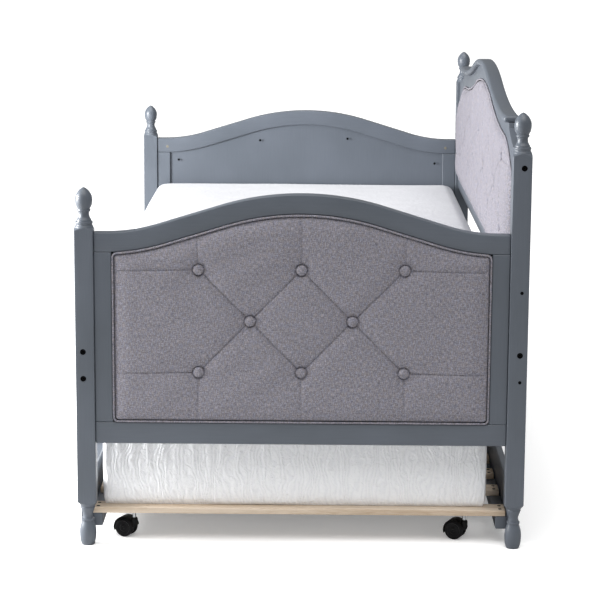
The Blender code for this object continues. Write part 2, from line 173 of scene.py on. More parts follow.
def soften(piece, width, segments=3, angle=SMOOTH_ANGLE):
    """Rounds a piece's sharp edges."""
    modify(piece, "BEVEL", width=width, segments=segments, limit_method="ANGLE", angle_limit=angle)


def combine(piece, other, operation):
    """Cuts a piece with another, or joins or keeps what both share, and uses the other up."""
    modify(piece, "BOOLEAN", object=other, operation=operation, solver="EXACT")
    bpy.data.objects.remove(other)


def settle(piece, place=None):
    """Moves a piece by a matrix, and leaves its place in its mesh and its object at the origin."""
    if place is not None:
        piece.matrix_world = place
    only(piece)
    bpy.ops.object.transform_apply(location=True, rotation=True, scale=True)
    return piece


def copy_of(piece, place):
    """A copy with its own mesh, moved by a matrix."""
    made = piece.copy()
    made.data = piece.data.copy()
    bpy.context.scene.collection.objects.link(made)
    made.data.transform(place)
    return made


def mirror_of(piece):
    """A copy for the bed's other end."""
    made = copy_of(piece, MIRROR)
    made.data.flip_normals()
    return made


def box(low, high):
    low, high = Vector(low), Vector(high)
    bpy.ops.object.select_all(action="DESELECT")
    bpy.ops.mesh.primitive_cube_add(size=1, location=(low + high) / 2)
    made = bpy.context.active_object
    made.scale = high - low
    return settle(made)


def rounded(stretches, steps=4):
    """Runs a smooth curve through each stretch of an outline, with a crisp line where stretches meet."""
    points = []
    for stretch in stretches:
        ends = [stretch[0], *stretch, stretch[-1]]
        for i in range(len(stretch) - 1):
            a, b, c, d = (np.array(p, float) for p in ends[i : i + 4])
            for s in range(steps):
                t = s / steps
                square, cube = 2 * a - 5 * b + 4 * c - d, 3 * b - a - 3 * c + d
                points.append(0.5 * (2 * b + (c - a) * t + square * t**2 + cube * t**3))
        points.append(np.array(stretch[-1], float))
    return [tuple(p) for p in points]


def turned(outline, sides):
    """Turns an outline of (height, radius) points about Z: a disc, drawn up and resized point by point."""
    level, radius = outline[0]
    bpy.ops.object.select_all(action="DESELECT")
    bpy.ops.mesh.primitive_circle_add(vertices=sides, radius=radius, fill_type="NGON", location=(0, 0, level))
    made = bpy.context.active_object
    settle(made)
    pick_all(made)
    for height, wide in outline[1:]:
        bpy.ops.mesh.extrude_region_move(TRANSFORM_OT_translate={"value": (0, 0, height - level)})
        bpy.ops.transform.resize(value=(wide / radius, wide / radius, 1), center_override=(0, 0, height))
        level, radius = height, wide
    done()
    face_outwards(made)
    return made


def bent_strip(columns, place, push):
    """A strip of faces, bent by placing each of its corners, and drawn out to a board's thickness.

    place takes how far along (0 to 1) and across (0 or 1) a corner lies, and returns where it goes.
    """
    bpy.ops.object.select_all(action="DESELECT")
    bpy.ops.mesh.primitive_grid_add(x_subdivisions=columns, y_subdivisions=1, size=1)
    made = bpy.context.active_object
    for corner in made.data.vertices:
        corner.co = place(corner.co.x + 0.5, corner.co.y + 0.5)
    pick_all(made)
    bpy.ops.mesh.extrude_region_move(TRANSFORM_OT_translate={"value": push})
    done()
    face_outwards(made)
    return made


def bead_along(points, radius):
    """A round bead along a closed run of points, as a mesh."""
    path = bpy.data.curves.new("bead", "CURVE")
    path.dimensions = "3D"
    path.bevel_depth = radius
    path.bevel_resolution = 3
    spline = path.splines.new("POLY")
    spline.points.add(len(points) - 1)
    for point, where in zip(spline.points, points):
        point.co = (*where, 1)
    spline.use_cyclic_u = True
    made = bpy.data.objects.new("bead", path)
    bpy.context.scene.collection.objects.link(made)
    only(made)
    bpy.ops.object.convert(target="MESH")
    made = bpy.context.active_object
    face_outwards(made)
    bpy.ops.object.shade_smooth()
    return made


def show(piece, name, finish, body, slot, *replaced):
    """Names a finished piece, gives it its finish, ties it to the body that carries it, and hides the frame's
    parts that it replaces.
    """
    piece.name = name
    piece.data.name = name
    piece.data.materials.clear()
    piece.data.materials.append(finish)
    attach(piece, body)
    if replaced:
        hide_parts(*replaced)
    return piece


# ---------------------------------------------------------------- finishes

WAVE_TURN = math.tau / 20  # how far apart a wave texture's bands are at a scale of 1


def linear(text):
    """A colour from its sRGB hex value."""
    shades = [int(text[i : i + 2], 16) / 255 for i in (1, 3, 5)]
    return (*(s / 12.92 if s <= 0.04045 else ((s + 0.055) / 1.055) ** 2.4 for s in shades), 1.0)


def feed(tree, socket, value):
    """Gives a socket its value, or links it to an output, or to the output that a node has in use."""
    if isinstance(value, bpy.types.Node):
        value = next(output for output in value.outputs if output.enabled)
    if isinstance(value, bpy.types.NodeSocket):
        tree.links.new(value, socket)
    else:
        socket.default_value = value


def add(tree, kind, inputs=None, stops=(), **settings):
    """Adds a shader node with its settings and links, and a ramp's stops as (position, hex colour)."""
    made = tree.nodes.new("ShaderNode" + kind)
    for key, value in settings.items():
        setattr(made, key, value)
    for key, value in (inputs or {}).items():
        feed(tree, made.inputs[key], value)
    if stops:
        elements = made.color_ramp.elements
        while len(elements) < len(stops):
            elements.new(0.5)
        for element, (position, shade) in zip(elements, stops):
            element.position = position
            element.color = linear(shade)
    return made


def new_finish(name, **constants):
    """A material with its tree and its shader; constants are the shader's own socket values."""
    made = bpy.data.materials.new(name)
    made.use_nodes = True
    shader = made.node_tree.nodes["Principled BSDF"]
    for key, value in constants.items():
        shader.inputs[key.replace("_", " ").title().replace("Ior", "IOR")].default_value = value
    return made, made.node_tree, shader


def laid(tree, across, along=None, up=None):
    """Object coordinates in metres, divided by a pattern's real size, which may differ along X, Y and Z."""
    where = add(tree, "TexCoord").outputs["Object"]
    scale = (1 / across, 1 / (along or across), 1 / (up or across))
    return add(tree, "Mapping", {"Vector": where, "Scale": scale})


def along_grain(axis, long, fine):
    """A pattern's size along X, Y and Z on wood whose grain runs along one of them."""
    return [long if letter == axis else fine for letter in "XYZ"]


def dress(tree, shader, shade, relief, depth):
    """Gives a shader its colour, and its relief as bump of a real depth in metres."""
    feed(tree, shader.inputs["Base Color"], shade)
    feed(tree, shader.inputs["Normal"], add(tree, "Bump", {"Height": relief, "Distance": depth}))


def sprayed_lacquer(axis):
    """Satin lacquer sprayed on hardwood: a blue grey coat with a faint orange peel, duller in clouds, over
    grain that runs along the piece."""
    made, tree, shader = new_finish(f"sprayed_lacquer_grain_{axis.lower()}", ior=1.48)
    board = laid(tree, *along_grain(axis, 0.075, 0.0022))
    grain = add(tree, "TexNoise", {"Vector": board, "Scale": 1.0, "Detail": 3.0, "Roughness": 0.55})
    cloud = add(tree, "TexNoise", {"Vector": laid(tree, 0.16), "Scale": 1.0, "Detail": 2.0})
    peel = add(tree, "TexNoise", {"Vector": laid(tree, 0.0016), "Scale": 1.0, "Detail": 1.0})
    coat = add(tree, "ValToRGB", {"Fac": cloud}, [(0.3, "#535961"), (0.7, "#595F68")])
    streaks = add(tree, "ValToRGB", {"Fac": grain}, [(0.35, "#F8F8F8"), (0.65, "#FFFFFF")])
    shade = add(tree, "Mix", {"Factor": 1.0, 6: coat, 7: streaks}, data_type="RGBA", blend_type="MULTIPLY")
    gloss = {"Value": cloud, "From Min": 0.3, "From Max": 0.7, "To Min": 0.37, "To Max": 0.46}
    feed(tree, shader.inputs["Roughness"], add(tree, "MapRange", gloss))
    relief = add(tree, "Math", {0: grain, 1: 0.7, 2: peel}, operation="MULTIPLY_ADD")
    dress(tree, shader, shade, relief, 0.00006)
    return made


def woven_tweed(name, across):
    """Heathered polyester tweed: thick and thin yarns in plain weave, mixed mauve grey, a little fuzzy.

    The real yarns are about 1 mm, too fine to show, so they are drawn about twice as coarse.
    """
    made, tree, shader = new_finish(name, roughness=0.92, sheen_weight=0.06, sheen_roughness=0.5)
    yarn, slub, speck = 0.0021, 0.009, 0.0012
    axes = add(tree, "SeparateXYZ", {"Vector": add(tree, "TexCoord").outputs["Object"]}).outputs
    side, up = axes[across], axes["Z"]
    flat = add(tree, "CombineXYZ", {"X": side, "Y": up})
    weft, warp = (
        add(tree, "Mapping", {"Vector": flat, "Scale": (1 / wide, 1 / high, 1)})
        for wide, high in ((slub, yarn), (yarn, slub))
    )
    tones = [add(tree, "TexNoise", {"Vector": way, "Scale": 1.0, "Detail": 1.0}) for way in (weft, warp)]
    yarns = add(tree, "Mix", {"Factor": 0.5, 2: tones[0], 3: tones[1]})
    fleck = add(tree, "TexNoise", {"Vector": flat, "Scale": 1 / speck, "Detail": 0.0})
    mixed = add(tree, "Mix", {"Factor": 0.45, 2: yarns, 3: fleck})
    heather = [(0.34, "#4F4D54"), (0.46, "#75737A"), (0.54, "#8A8890"), (0.66, "#B0AEB5")]
    hue = add(tree, "TexNoise", {"Vector": warp, "Scale": 0.7, "Detail": 1.0})
    tint = add(tree, "ValToRGB", {"Fac": hue}, [(0.38, "#FFF9F3"), (0.5, "#FBFAFC"), (0.62, "#F3F6FF")])
    shades = {"Factor": 1.0, 6: add(tree, "ValToRGB", {"Fac": mixed}, heather), 7: tint}
    shade = add(tree, "Mix", shades, data_type="RGBA", blend_type="MULTIPLY")
    relief = add(tree, "Math", {0: mixed, 1: 1.5}, operation="MULTIPLY")
    for line in (side, up):
        turn = add(tree, "Math", {0: line, 1: math.pi / yarn}, operation="MULTIPLY")
        ridge = add(tree, "Math", {0: add(tree, "Math", {0: turn}, operation="SINE")}, operation="ABSOLUTE")
        relief = add(tree, "Math", {0: ridge, 1: relief}, operation="ADD")
    dress(tree, shader, shade, relief, 0.00035)
    return made


def knitted_cover():
    """White polyester double knit on a foam mattress: soft and matt, with fine wales, drawn coarser than they
    are, and a raised honeycomb."""
    made, tree, shader = new_finish(
        "knitted_mattress_cover", roughness=0.95, sheen_weight=0.15, sheen_roughness=0.6
    )
    where = add(tree, "TexCoord").outputs["Object"]
    bands = {"Vector": where, "Scale": WAVE_TURN / 0.0084, "Distortion": 1.2, "Detail": 1.0}
    wales = add(tree, "TexWave", bands).outputs["Fac"]
    comb = add(tree, "TexVoronoi", {"Vector": where, "Scale": 1 / 0.011}, feature="SMOOTH_F1")
    cloud = add(tree, "TexNoise", {"Vector": laid(tree, 0.05), "Scale": 1.0, "Detail": 3.0})
    shade = add(tree, "ValToRGB", {"Fac": cloud}, [(0.3, "#BCBDC1"), (0.7, "#C2C3C7")])
    relief = add(tree, "Math", {0: comb, 1: 1.6, 2: wales}, operation="MULTIPLY_ADD")
    dress(tree, shader, shade, relief, 0.0004)
    return made


def matelasse():
    """White cotton matelasse coverlet: stitched wandering lines that pull the cloth into soft ribs, with
    painted shade making the colour a little darker down in the ribs' hollows.
    """
    made, tree, shader = new_finish(
        "matelasse_coverlet", roughness=0.95, sheen_weight=0.2, sheen_roughness=0.5
    )
    where = add(tree, "TexCoord").outputs["Object"]
    axes = add(tree, "SeparateXYZ", {"Vector": where}).outputs
    beside = add(tree, "Math", {0: axes["X"], 1: axes["Y"]}, operation="ADD")
    drawn_out = add(tree, "Math", {0: axes["Z"], 1: 0.5}, operation="MULTIPLY")
    flat = add(tree, "CombineXYZ", {"X": beside, "Y": drawn_out})
    bands = {"Vector": flat, "Scale": WAVE_TURN / 0.0105, "Distortion": 26.0, "Detail": 2.0}
    ribs = add(tree, "TexWave", {**bands, "Detail Scale": 0.55}).outputs["Fac"]
    weave = add(tree, "TexNoise", {"Vector": where, "Scale": 1 / 0.0025, "Detail": 2.0})
    pucker = add(tree, "TexNoise", {"Vector": where, "Scale": 1 / 0.012, "Detail": 3.0, "Distortion": 1.2})
    # painted shade: the colour follows the ribs and turns a little darker where they sink, as if shaded in
    # the hollows
    shade = add(tree, "ValToRGB", {"Fac": ribs}, [(0.1, "#F1F2F5"), (0.5, "#F6F7F9")])
    relief = 0.0
    for pattern, share in ((weave, 0.35), (pucker, 1.5), (ribs, 0.38)):
        relief = add(tree, "Math", {0: pattern, 1: share, 2: relief}, operation="MULTIPLY_ADD")
    dress(tree, shader, shade, relief, 0.0019)
    return made


def planed_pine(axis):
    """Bare planed pine: pale, with warm growth rings that run along the board and soft darker late wood."""
    made, tree, shader = new_finish(f"planed_pine_grain_{axis.lower()}", roughness=0.62)
    board, pores = (laid(tree, *along_grain(axis, *sizes)) for sizes in ((1.4, 0.055), (0.03, 0.0011)))
    rings = add(tree, "TexNoise", {"Vector": board, "Scale": 1.0, "Detail": 1.0, "Distortion": 0.6})
    turns = add(tree, "Math", {0: rings, 1: 42.0}, operation="MULTIPLY")
    bands = add(tree, "Math", {0: turns}, operation="SINE")
    fibre = add(tree, "TexNoise", {"Vector": pores, "Scale": 1.0, "Detail": 2.0})
    mixed = add(tree, "Math", {0: bands, 1: 0.22, 2: fibre}, operation="MULTIPLY_ADD")
    shade = add(tree, "ValToRGB", {"Fac": mixed}, [(0.25, "#D3C3B0"), (0.55, "#C8B6A1"), (0.8, "#B59F86")])
    dress(tree, shader, shade, mixed, 0.00012)
    return made


def moulded_nylon():
    """Black moulded nylon: a fine spark-eroded grain with a low sheen, scuffed a little lighter in places."""
    made, tree, shader = new_finish("moulded_black_nylon", roughness=0.38, ior=1.28)
    grain = add(tree, "TexNoise", {"Vector": laid(tree, 0.0006), "Scale": 1.0, "Detail": 2.0})
    scuff = add(tree, "TexNoise", {"Vector": laid(tree, 0.012), "Scale": 1.0, "Detail": 4.0})
    shade = add(tree, "ValToRGB", {"Fac": scuff}, [(0.4, "#08080A"), (0.75, "#101113")])
    dress(tree, shader, shade, grain, 0.00005)
    return made


def fine_grained(name, dark, light, sizes, depth, **constants):
    """A finish whose fine grain both varies its tone and stands up a little."""
    made, tree, shader = new_finish(name, **constants)
    grain = add(tree, "TexNoise", {"Vector": laid(tree, *sizes), "Scale": 1.0, "Detail": 2.0})
    dress(tree, shader, add(tree, "ValToRGB", {"Fac": grain}, [(0.3, dark), (0.7, light)]), grain, depth)
    return made


def plated_steel(name, dark, light, roughness):
    """Rolled steel with a thin skin: a fine grit, and a tone that varies a little."""
    return fine_grained(name, dark, light, (0.0008,), 0.00003, roughness=roughness, metallic=1.0)


def beech_end_grain():
    """Beech dowel ends, sanded flush: small rings in a dull brown grey, stained by the coat around them."""
    rings = (0.0012, 0.004, 0.0012)
    return fine_grained("beech_dowel_end", "#5F5C50", "#7A766A", rings, 0.00008, roughness=0.6)


LACQUER = {axis: sprayed_lacquer(axis) for axis in "XYZ"}
PINE = {axis: planed_pine(axis) for axis in "XY"}
ARM_TWEED = woven_tweed("woven_tweed_arm", "Y")
BACK_TWEED = woven_tweed("woven_tweed_back", "X")
KNIT = knitted_cover()
COVERLET = matelasse()
NYLON = moulded_nylon()
BLACK_STEEL = plated_steel("black_oxide_steel", "#0C0C0D", "#161617", 0.42)
ZINC_STEEL = plated_steel("zinc_plated_steel", "#A9ABAE", "#C6C8CA", 0.28)
BEECH = beech_end_grain()


# ---------------------------------------------------------------- outlines that the frame shares

def ogee_drop(distance, half_span, rise, crown_share, slope):
    """How far an arch has dropped at a distance from its middle: a crown arc, a straight run at the slope's
    angle, and a hollow arc. The span and the rise fix the two radii's sum, and the crown has its share."""
    distance = min(abs(distance), half_span)
    sine, flat = math.sin(slope), 1 - math.cos(slope)
    radii = (half_span * sine - rise * math.cos(slope)) / flat
    crown = radii * crown_share
    hollow = radii - crown
    left = half_span - distance
    if distance <= crown * sine:
        return crown - math.sqrt(crown**2 - distance**2)
    if left <= hollow * sine:
        return rise - (hollow - math.sqrt(hollow**2 - left**2))
    return crown * flat + (distance - crown * sine) * math.tan(slope)


def arm_top(y):
    return ARM_SHOULDER + ARM_RISE - ogee_drop(y, ARM_HALF_SPAN, ARM_RISE, ARM_CROWN_SHARE, ARM_SLOPE)


def arm_opening_top(y):
    y = min(abs(y), RAIL_END_Y - STILE)
    drop = ogee_drop(y, ARM_OPENING_SPAN, ARM_OPENING_RISE, ARM_OPENING_CROWN_SHARE, ARM_SLOPE)
    return ARM_OPENING_SHOULDER + ARM_OPENING_RISE - drop


def crest_top(x):
    drop = ogee_drop(x, CREST_HALF_SPAN, CREST_RISE, CREST_CROWN_SHARE, CREST_SLOPE)
    return CREST_SHOULDER + CREST_RISE - drop


def back_opening_top(x):
    x = min(abs(x), RAIL_END_X - STILE)
    corner = max(0.0, x - CORNER_START) / CORNER_RUN
    return crest_top(x) - CREST_RAIL - CORNER_DROP * corner**2


def crest_rail_top(x):
    """Under the cap, and then the hollow step down from the cap's end to the post."""
    if abs(x) <= CAP_HALF:
        return crest_top(x) - CAP_THICK
    along = (RAIL_END_X - abs(x)) / (RAIL_END_X - CAP_HALF)
    return SHOULDER_END + (SHOULDER_STEP - SHOULDER_END) * along**2


# ---------------------------------------------------------------- posts

# Turned outlines as (height, radius), the foot from the floor and the finial from the top of the square part
FULL = POST / 2 * math.sqrt(2) + 0.0001
FOOT = (
    (
        (0.0, 0.0150), (0.004, 0.0167), (0.013, 0.0190), (0.029, 0.0202),
        (0.044, 0.0188), (0.056, 0.0152), (0.060, 0.0142),
    ),
    ((0.0605, 0.0156), (0.063, 0.0160), (0.0655, 0.0156)),
    ((0.0665, 0.0130), (0.076, 0.0120), (0.087, 0.0155), (0.093, 0.0175), (0.096, 0.0170)),
    ((0.0985, 0.0184), (0.101, 0.0200), (0.104, 0.0226)),
    ((0.1065, 0.0262), (0.112, FULL)),
)
FINIAL = (
    ((-0.005, FULL), (-0.001, 0.0262), (0.002, 0.0222)),
    ((0.004, 0.0217), (0.008, 0.0196), (0.0105, 0.0196)),
    ((0.0115, 0.0203), (0.0138, 0.0207), (0.016, 0.0200)),
    ((0.0172, 0.0178), (0.0205, 0.0171), (0.027, 0.0134), (0.035, 0.0123), (0.0395, 0.0132)),
    ((0.0405, 0.0150), (0.0428, 0.0156), (0.0448, 0.0150)),
    (
        (0.0463, 0.0142), (0.055, 0.0186), (0.0676, 0.0202), (0.078, 0.0184),
        (0.087, 0.0133), (0.094, 0.0062), (0.0968, 0.0012),
    ),
)
POST_EDGE = 0.0022
BOLT_Y = {"front": -0.517, "rear": 0.517}
BOLT_HEIGHTS = {"front": {"upper": 0.479, "lower": 0.414}, "rear": {"panel": 0.9226, "rail": 0.4777}}
BOLT_HOLE = 0.0071
BOLT_HOLE_DEEP = 0.0095


def turned_post(place, square_top):
    """A right-hand post: a squared blank with its foot and finial turned, drilled for its two bolts."""
    crown = tuple(tuple((square_top + z, radius) for z, radius in stretch) for stretch in FINIAL)
    post = turned(rounded(FOOT) + rounded(crown), 64)
    half, spare = POST / 2, 0.01
    blank = box((-half, -half, -spare), (half, half, square_top + FINIAL_HEIGHT + spare))
    corners = blank.data.vertices
    pick(blank, "EDGE", lambda e: abs(corners[e.vertices[0]].co.z - corners[e.vertices[1]].co.z) > 0.1)
    bpy.ops.mesh.bevel(offset=POST_EDGE, segments=4)
    done()
    combine(post, blank, "INTERSECT")
    settle(post, Matrix.Translation((POST_X, math.copysign(POST_Y, BOLT_Y[place]), 0)))
    for height in BOLT_HEIGHTS[place].values():
        start = Matrix.Translation((frame_high.x - BOLT_HOLE_DEEP, BOLT_Y[place], height))
        drill = turned([(0, BOLT_HOLE), (BOLT_HOLE_DEEP + spare, BOLT_HOLE)], 32)
        combine(post, settle(drill, start @ ALONG_X), "DIFFERENCE")
    smooth(post)
    return post


def make_posts():
    for place, square_top in (("front", FRONT_SQUARE_TOP), ("rear", REAR_SQUARE_TOP)):
        right = turned_post(place, square_top)
        left = mirror_of(right)
        for side, post in (("right", right), ("left", left)):
            corner = f"{side}_{place}"
            show(post, f"{corner}_turned_post", LACQUER["Z"], "frame", "blue_grey_paint", f"{corner}_post")


# ---------------------------------------------------------------- arched rails and the crest

RAIL_EDGE = 0.0026
CAP_ROUND = 0.44
CAP_ANGLE = math.radians(50)


def make_arm_rails():
    """Each arm's top rail: arched above, and cut below to the pad's opening."""
    def corner(along, across):
        y = RAIL_END_Y * (2 * along - 1)
        return Vector((ARM_INNER, y, arm_top(y) if across > 0.5 else arm_opening_top(y)))

    right = bent_strip(144, corner, (ARM_FACE - ARM_INNER, 0, 0))
    soften(right, RAIL_EDGE)
    smooth(right)
    left = mirror_of(right)
    for arm, rail in (("right_arm", right), ("left_arm", left)):
        show(rail, f"{arm}_arched_rail", LACQUER["Y"], "frame", "blue_grey_paint", f"{arm}_top_rail")


def make_crest():
    """The back's top rail, which steps down past the cap's ends, and the rounded cap moulding on it."""
    step, pieces = 0.0006, 96
    stations = sorted(
        {round(RAIL_END_X * i / pieces, 5) for i in range(-pieces, pieces + 1)}
        | {sign * value for sign in (1, -1) for value in (CAP_HALF, CAP_HALF + step)}
    )

    def rail_corner(along, across):
        x = stations[round(along * (len(stations) - 1))]
        return Vector((x, BACK_FACE, crest_rail_top(x) if across > 0.5 else back_opening_top(x)))

    rail = bent_strip(len(stations) - 1, rail_corner, (0, BACK_REAR - BACK_FACE, 0))
    soften(rail, RAIL_EDGE)
    smooth(rail)
    show(rail, "crest_arched_rail", LACQUER["X"], "frame", "blue_grey_paint", "back_crest_rail")

    low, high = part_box("back_crest_cap")

    def cap_corner(along, across):
        x = CAP_HALF * (2 * along - 1)
        return Vector((x, high.y if across > 0.5 else low.y, crest_top(x) - CAP_THICK + CAP_GAP))

    cap = bent_strip(120, cap_corner, (0, 0, CAP_THICK - CAP_GAP))
    soften(cap, CAP_THICK * CAP_ROUND, 5, CAP_ANGLE)
    smooth(cap, CAP_ANGLE)
    show(cap, "crest_rounded_cap", LACQUER["X"], "frame", "blue_grey_paint", "back_crest_cap")


def finish_plain_timber():
    """The squared pieces keep the frame's own shapes and take their finishes, with the grain along each."""
    grain = {"stile": "Z", "board": "X", "arm_bottom_rail": "Y", "arm_board": "Z"}
    for name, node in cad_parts.items():
        if node.hide_render:
            continue
        if "slat" in name:
            finish = PINE["Y"]
        elif name in ("front_ledger", "rear_ledger"):
            finish = PINE["X"]
        else:
            axis = "X"
            for word, way in grain.items():
                if word in name:
                    axis = way
            finish = LACQUER[axis]
        node.data.materials.clear()
        node.data.materials.append(finish)


# ---------------------------------------------------------------- tufted pads

PIPING_ROOM = 0.0054
PIPING_RADIUS = 0.0024
PIPING_OUT = 0.0017
PIPING_STEP = 0.012
PAD_RIM = -0.0040
PAD_CORNER = 0.010
SEAM_ROOM = 0.003

# How deep and how wide the folds of a pad's cover are
CREASE_LINE = (0.0030, 0.0014)
CREASE_VALLEY = (0.0012, 0.016)
PLEAT = (0.0065, 0.014)
BUTTON_PIT = (0.0052, 0.020)
BUTTON_HOLLOW = (0.0022, 0.055)
BUTTON_RIM = (0.0046, 0.0018)
BUTTON_PUCKER = (0.0006, 0.007)
BUTTON_RIM_RADIUS = 0.0136
THREAD_REACH = 0.035

# The share of that depth which a crease has between two buttons, level, upright, and along a pleat
BIAS, LEVEL, UPRIGHT, PLEATED = 1.0, 0.85, 0.5, 0.3


def distance_to_line(u, v, start, end):
    """How far each point is from a stretch of line, and how far it lies along it from 0 to 1."""
    du, dv = end[0] - start[0], end[1] - start[1]
    along = np.clip(((u - start[0]) * du + (v - start[1]) * dv) / (du * du + dv * dv), 0, 1)
    return np.hypot(u - start[0] - along * du, v - start[1] - along * dv), along


def dent(away, size, power=2):
    """How deep a fold is at a distance from its middle."""
    deep, wide = size
    return deep * np.exp(-((np.abs(away) / wide) ** power))


class Tufting:
    """Buttons in staggered rows and the creases that fold between them, on a pad seen from its face."""

    def __init__(self, opening, outer, middle, heights, crown, edge, pleats=()):
        self.opening_half, self.opening_bottom, self.opening_top = opening
        self.half = self.opening_half - PIPING_ROOM
        self.bottom = self.opening_bottom + PIPING_ROOM
        self.crown, self.edge, self.pleats = crown, edge, pleats
        upper, centre, lower = heights
        rows = ((outer, upper), (middle, centre), (outer, lower))
        self.buttons = [(u, row) for places, row in rows for u in places]
        self.creases = []
        pitch = outer[1] - outer[0]
        for u in middle:
            for other in outer:
                if abs(other - u) < 0.6 * pitch:
                    self.creases += [((u, centre), (other, row), BIAS) for row in (upper, lower)]
        floor = self.bottom + SEAM_ROOM
        for u in outer:
            self.creases.append(((u, upper), (u * 1.01, self.top(u) - SEAM_ROOM), UPRIGHT))
            self.creases.append(((u, lower), (u * 1.01, floor), UPRIGHT))
        for u in pleats:
            self.creases.append(((u, floor), (u, self.top(u) - SEAM_ROOM), PLEATED))
        for row in (upper, lower):
            for end in (outer[0], outer[-1]):
                side = math.copysign(self.half - SEAM_ROOM, end)
                self.creases.append(((end, row), (side, row - 0.004), LEVEL))

    def top(self, u):
        """The pad's upper edge."""
        return self.opening_top(u) - PIPING_ROOM

    def inside(self, u, v):
        """How far a point lies inside the pad's edge, with the corners rounded."""
        tops = np.vectorize(self.top)
        slope = (tops(u + 0.001) - tops(u - 0.001)) / 0.002
        gaps = [self.half - np.abs(u), v - self.bottom, (tops(u) - v) / np.sqrt(1 + slope**2)]
        return sum(np.maximum(gap, 1e-5) ** -5.0 for gap in gaps) ** (-1 / 5.0)

    def gathered(self, u, v):
        """Draws the cover's points towards creases and buttons' rims, where the mesh has to be fine."""
        reach, share, ring = 0.008, 0.65, 0.0265
        free = np.clip(self.inside(u, v) / 0.012 - 0.3, 0, 1)
        for start, end, _ in self.creases:
            length = math.dist(start, end)
            du, dv = (end[0] - start[0]) / length, (end[1] - start[1]) / length
            along = (u - start[0]) * du + (v - start[1]) * dv
            side = (v - start[1]) * du - (u - start[0]) * dv
            near = np.clip(np.minimum(along, length - along) / 0.01, 0, 1) * (np.abs(side) < reach) * free
            shift = -share * reach / math.pi * np.sin(math.pi * side / reach) * near
            u, v = u - dv * shift, v + du * shift
        for bu, bv in self.buttons:
            r = np.hypot(u - bu, v - bv) + 1e-9
            shift = np.where(r < ring, 0.6 * ring / (2 * math.pi) * np.sin(2 * math.pi * r / ring), 0)
            u, v = u + (u - bu) / r * shift, v + (v - bv) / r * shift
        return u, v

    def height(self, u, v):
        """How far the cover stands out from the frame's face: crowned, rolled down to its rim, and drawn in
        along the creases and pleats and round the buttons."""
        inside = self.inside(u, v)
        share = np.clip(inside / self.edge, 0, 1)
        out = PAD_RIM + (self.crown - PAD_RIM) * np.sqrt(1 - (1 - share) ** 2)
        room = np.clip(inside / 0.016, 0, 1)
        folds = np.zeros_like(u)
        for start, end, deep in self.creases:
            away, along = distance_to_line(u, v, start, end)
            length = math.dist(start, end)
            pull = 1 + 1.2 * np.exp(-along * length / THREAD_REACH)
            if deep == BIAS:
                pull = pull + 1.2 * np.exp(-(1 - along) * length / THREAD_REACH)
            fold = dent(away, CREASE_LINE, 1.3) + dent(away, CREASE_VALLEY)
            folds = np.maximum(folds, deep * pull * fold)
        for pleat in self.pleats:
            folds = folds + dent(u - pleat, PLEAT) * np.clip(inside / 0.05, 0, 1)
        for number, (bu, bv) in enumerate(self.buttons):
            r = np.hypot(u - bu, v - bv)
            angle = np.arctan2(v - bv, u - bu)
            dip = dent(r, BUTTON_PIT) + dent(r, BUTTON_HOLLOW, 1.5)
            rim = dent(r - BUTTON_RIM_RADIUS, BUTTON_RIM)
            pucker = np.cos(9 * angle + 1.7 * number) * dent(r - 0.019, BUTTON_PUCKER)
            folds = folds * (1 - np.exp(-((r / 0.015) ** 4))) + dip + rim + pucker
        ripple = 0.0004 * np.sin(41 * u + 3 * np.sin(23 * v)) + 0.0003 * np.sin(67 * v + 2 * np.sin(31 * u))
        return out - folds * room + ripple * room


def corner_cut(half, u, radius):
    """How much a rounded corner takes off the height at u."""
    into = max(0.0, radius - (half - abs(u)))
    return radius - math.sqrt(max(0.0, radius**2 - into**2))


def tufted_pad(shape, columns, rows, depth):
    """The padded cover in face coordinates (u, v, out), closed behind by a flat back."""
    bpy.ops.object.select_all(action="DESELECT")
    bpy.ops.mesh.primitive_grid_add(x_subdivisions=columns, y_subdivisions=rows, size=1)
    pad = bpy.context.active_object
    spots = np.zeros(len(pad.data.vertices) * 3)
    pad.data.vertices.foreach_get("co", spots)
    spots = spots.reshape(-1, 3)
    share = 2 * spots[:, 0]
    u = np.clip(shape.half * (share + 0.2 * np.sin(math.pi * share) / math.pi), -shape.half, shape.half)
    cuts = np.array([corner_cut(shape.half, value, PAD_CORNER) for value in u])
    low, high = shape.bottom + cuts, np.array([shape.top(value) for value in u]) - cuts
    u, v = shape.gathered(u, low + (high - low) * (spots[:, 1] + 0.5))
    out = shape.height(u, v)
    rim = (np.abs(spots[:, 1]) > 0.4999) | (np.abs(spots[:, 0]) > 0.4999)
    out[rim] = PAD_RIM
    pad.data.vertices.foreach_set("co", np.stack([u, v, out], 1).ravel())
    pick_all(pad)
    bpy.ops.mesh.region_to_loop()
    bpy.ops.mesh.extrude_edges_move(TRANSFORM_OT_translate={"value": (0, 0, -depth)})
    bpy.ops.mesh.edge_face_add()
    done()
    face_outwards(pad)
    bpy.ops.object.shade_smooth()
    return pad


def piping(shape):
    """A covered cord round the edge of a pad, in the gap between it and the frame."""
    inset = PIPING_RADIUS + 0.0003
    reach = shape.opening_half - inset
    straight = reach - PAD_CORNER
    bends = [straight + PAD_CORNER * math.sin(math.pi / 2 * i / 8) for i in range(1, 9)]
    flat = int(straight / PIPING_STEP)
    across = [-b for b in reversed(bends)] + [straight * i / flat for i in range(-flat, flat + 1)] + bends
    lower, upper = [], []
    for u in across:
        cut = corner_cut(reach, u, PAD_CORNER)
        lower.append((u, shape.opening_bottom + inset + cut, PIPING_OUT))
        upper.append((u, shape.opening_top(u) - inset - cut, PIPING_OUT))
    return bead_along(lower + upper[::-1], PIPING_RADIUS)


def covered_button():
    """A button covered in the pad's cloth: a low dome with its edge tucked under."""
    dome = turned(
        rounded(
            (
                ((-0.0030, 0.0100), (-0.0018, 0.0118), (-0.0004, 0.0124), (0.0012, 0.0120)),
                ((0.0012, 0.0120), (0.0030, 0.0100), (0.0042, 0.0070), (0.0048, 0.0035), (0.0050, 0.0006)),
            ),
            3,
        ),
        32,
    )
    bpy.ops.object.shade_smooth()
    return dome


